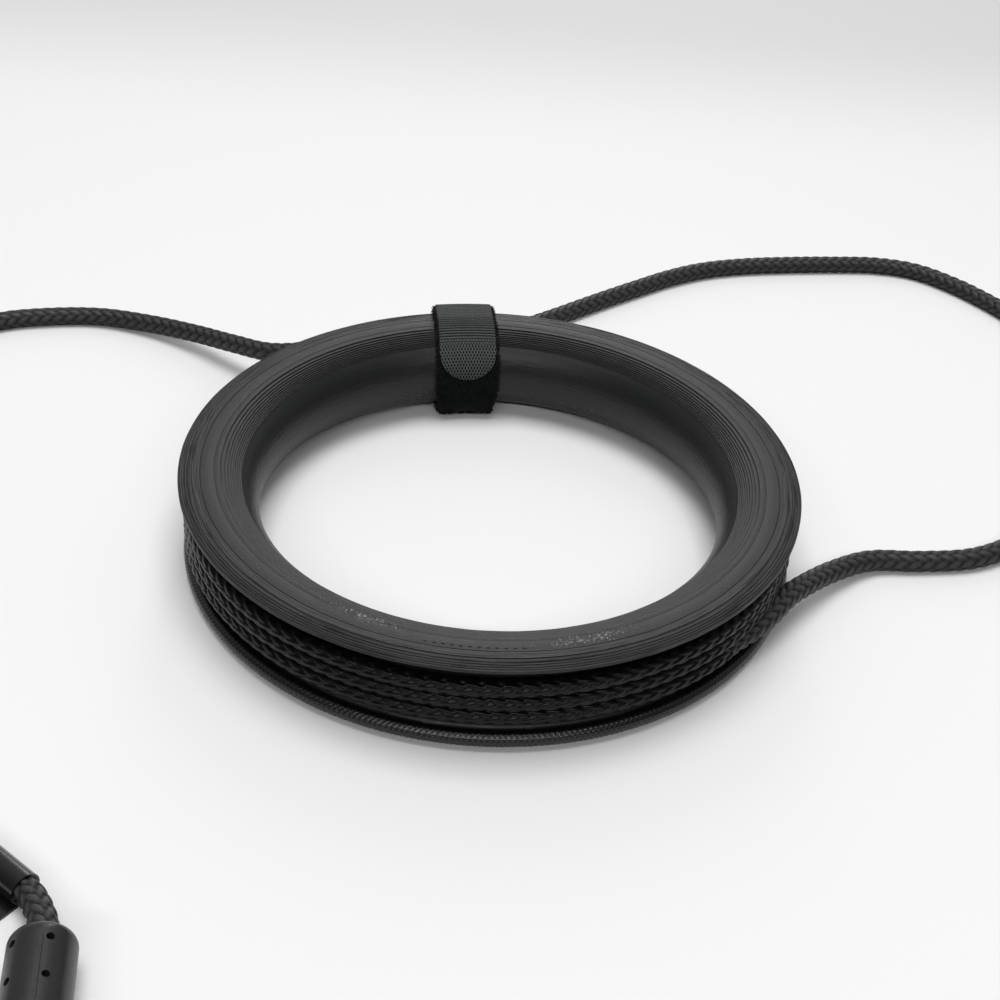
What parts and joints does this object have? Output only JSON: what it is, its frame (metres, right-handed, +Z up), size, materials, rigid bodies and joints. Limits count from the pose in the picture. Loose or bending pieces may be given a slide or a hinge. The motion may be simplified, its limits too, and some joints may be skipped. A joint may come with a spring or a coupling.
{
  "type": "mouse bungee",
  "caption": "Round cord spool with an outward groove, a hook-and-loop strap, a loop round its foot and a wound mouse lead, laid flat to take up its slack.",
  "frame": {"origin": "on the table, below the centre of the ring", "axes": "+Z up along the ring's axis, +Y towards the strap's side, +X to the right of the picture's view"},
  "size_m": [0.275, 0.2888, 0.021],
  "materials": {
    "printed_ring": "satin, with fine printed layer lines",
    "strap_pile": "matte looped pile",
    "strap_hook": "woven, with ribs",
    "fine_braid": "fine braid",
    "lead_braid": "coarse braid",
    "label_film": "glossy shrunk film",
    "moulding": "satin",
    "ferrite": "matte sintered",
    "shell_metal": "plated",
    "tongue_plastic": "satin",
    "contact_metal": "gold plated"
  },
  "bodies": {
    "root": {"spool_ring": "printed_ring", "strap_tape": "strap_pile", "strap_tab": "strap_hook", "retaining_loop": "fine_braid", "lead_winding": "lead_braid", "lead_tail": "lead_braid", "lead_loop": "lead_braid", "lead_label": "label_film", "bead_housing": "moulding", "bead_core": "ferrite", "plug_body": "moulding", "plug_shell": "shell_metal", "plug_tongue": "tongue_plastic", "plug_contacts": "contact_metal"}
  },
  "joints": []
}
